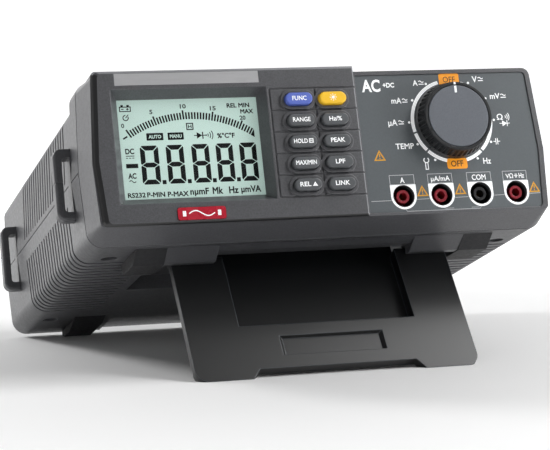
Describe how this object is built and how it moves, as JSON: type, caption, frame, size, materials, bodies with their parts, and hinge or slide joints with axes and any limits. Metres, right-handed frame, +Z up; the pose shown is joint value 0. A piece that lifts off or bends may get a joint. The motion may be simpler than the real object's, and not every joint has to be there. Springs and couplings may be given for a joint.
{
  "type": "bench multimeter",
  "caption": "Portable bench multimeter in a ribbed plastic case, leaning back on a fold-out stand, with a display, soft keys, a rotary range selector and safety test-lead sockets.",
  "frame": {"origin": "middle of the footprint on the table, with the case leaning back on its open stand", "axes": "+X to the right as seen from the front, +Y backwards, +Z up"},
  "size_m": [0.2504, 0.2636, 0.1462],
  "materials": {
    "shell_grey": "fine spark-eroded texture, dark grey",
    "bezel_grey": "fine spark-eroded texture, dark grey",
    "panel_sheet": "printed sheet, grey green",
    "strip_silver": "printed strip, light grey",
    "badge_red": "printed badge",
    "window_clear": "clear acrylic",
    "lcd_mint": "liquid crystal cell",
    "light_guide": "frosted acrylic",
    "black_plastic": "moulded, plain",
    "elastomer": "silicone rubber",
    "board_green": "glass-fibre laminate with solder mask",
    "key_grey": "silicone rubber keys",
    "key_blue": "silicone rubber key",
    "key_amber": "silicone rubber key",
    "knob_grey": "moulded, fine texture",
    "cap_grey": "printed cap",
    "nylon_white": "moulded nylon",
    "contact_brass": "machined and plated",
    "spring_steel": "hardened, plain",
    "socket_red": "moulded red",
    "socket_black": "moulded black",
    "steel_laminate": "varnished laminations",
    "copper_winding": "taped coil former",
    "component_black": "moulded packages",
    "fuse_ceramic": "ceramic tube with metal ends",
    "cell_wrap": "printed wrap",
    "foot_rubber": "moulded rubber",
    "stand_black": "satin moulded",
    "zinc_steel": "zinc plated"
  },
  "bodies": {
    "case": {"backlight": "light_guide", "badge_plate": "badge_red", "battery_cells": "cell_wrap", "battery_door": "shell_grey", "battery_holder": "black_plastic", "board_components": "component_black", "bottom_shell": "shell_grey", "buzzer": "black_plastic", "case_screws": "zinc_steel", "contact_strips": "elastomer", "detent": "spring_steel", "dial_panel": "panel_sheet", "display_board": "board_green", "front_bezel": "bezel_grey", "front_feet": "foot_rubber", "fuse_clips": "contact_brass", "fuses": "fuse_ceramic", "inlet_module": "black_plastic", "keypad_board": "board_green", "keypad_mat": "elastomer", "label_strip": "strip_silver", "lcd_frame": "black_plastic", "lcd_glass": "lcd_mint", "lcd_window": "window_clear", "main_board": "board_green", "power_board": "board_green", "power_components": "component_black", "rear_cover": "shell_grey", "rear_feet": "foot_rubber", "serial_connector": "black_plastic", "side_loops": "shell_grey", "socket_amp": "socket_red", "socket_common": "socket_black", "socket_contacts": "contact_brass", "socket_milliamp": "socket_red", "socket_shrouds": "black_plastic", "socket_volt": "socket_red", "stand_pins": "zinc_steel", "switch_board": "board_green", "top_shell": "shell_grey", "transformer_core": "steel_laminate", "transformer_winding": "copper_winding"},
    "selector": {"selector_knob": "knob_grey", "knob_cap": "cap_grey", "selector_shaft": "nylon_white", "switch_rotor": "nylon_white", "rotor_contacts": "contact_brass"},
    "key_function": {"key_function": "key_blue"},
    "key_light": {"key_light": "key_amber"},
    "key_range": {"key_range": "key_grey"},
    "key_frequency": {"key_frequency": "key_grey"},
    "key_hold": {"key_hold": "key_grey"},
    "key_peak": {"key_peak": "key_grey"},
    "key_max_min": {"key_max_min": "key_grey"},
    "key_filter": {"key_filter": "key_grey"},
    "key_relative": {"key_relative": "key_grey"},
    "key_link": {"key_link": "key_grey"},
    "stand": {"stand": "stand_black"},
    "power_rocker": {"power_rocker": "black_plastic"}
  },
  "joints": [
    {"name": "selector_turn", "type": "hinge", "parent": "case", "child": "selector", "pos_m": [0.0675, -0.10966, 0.11812], "axis": [0, 0.9615, -0.2748], "continuous": true},
    {"name": "key_function_press", "type": "slide", "parent": "case", "child": "key_function", "axis": [0, 0.9615, -0.2748], "range_m": [0, 0.0012], "stiffness_N_per_m": 900},
    {"name": "key_light_press", "type": "slide", "parent": "case", "child": "key_light", "axis": [0, 0.9615, -0.2748], "range_m": [0, 0.0012], "stiffness_N_per_m": 900},
    {"name": "key_range_press", "type": "slide", "parent": "case", "child": "key_range", "axis": [0, 0.9615, -0.2748], "range_m": [0, 0.0012], "stiffness_N_per_m": 900},
    {"name": "key_frequency_press", "type": "slide", "parent": "case", "child": "key_frequency", "axis": [0, 0.9615, -0.2748], "range_m": [0, 0.0012], "stiffness_N_per_m": 900},
    {"name": "key_hold_press", "type": "slide", "parent": "case", "child": "key_hold", "axis": [0, 0.9615, -0.2748], "range_m": [0, 0.0012], "stiffness_N_per_m": 900},
    {"name": "key_peak_press", "type": "slide", "parent": "case", "child": "key_peak", "axis": [0, 0.9615, -0.2748], "range_m": [0, 0.0012], "stiffness_N_per_m": 900},
    {"name": "key_max_min_press", "type": "slide", "parent": "case", "child": "key_max_min", "axis": [0, 0.9615, -0.2748], "range_m": [0, 0.0012], "stiffness_N_per_m": 900},
    {"name": "key_filter_press", "type": "slide", "parent": "case", "child": "key_filter", "axis": [0, 0.9615, -0.2748], "range_m": [0, 0.0012], "stiffness_N_per_m": 900},
    {"name": "key_relative_press", "type": "slide", "parent": "case", "child": "key_relative", "axis": [0, 0.9615, -0.2748], "range_m": [0, 0.0012], "stiffness_N_per_m": 900},
    {"name": "key_link_press", "type": "slide", "parent": "case", "child": "key_link", "axis": [0, 0.9615, -0.2748], "range_m": [0, 0.0012], "stiffness_N_per_m": 900},
    {"name": "stand_fold", "type": "hinge", "parent": "case", "child": "stand", "pos_m": [0, -0.07836, 0.05624], "axis": [1, 0, 0], "range_deg": [0, 115]},
    {"name": "power_switch", "type": "hinge", "parent": "case", "child": "power_rocker", "pos_m": [0.0405, 0.11789, 0.02823], "axis": [-1, 0, 0], "range_deg": [0, 18]}
  ]
}
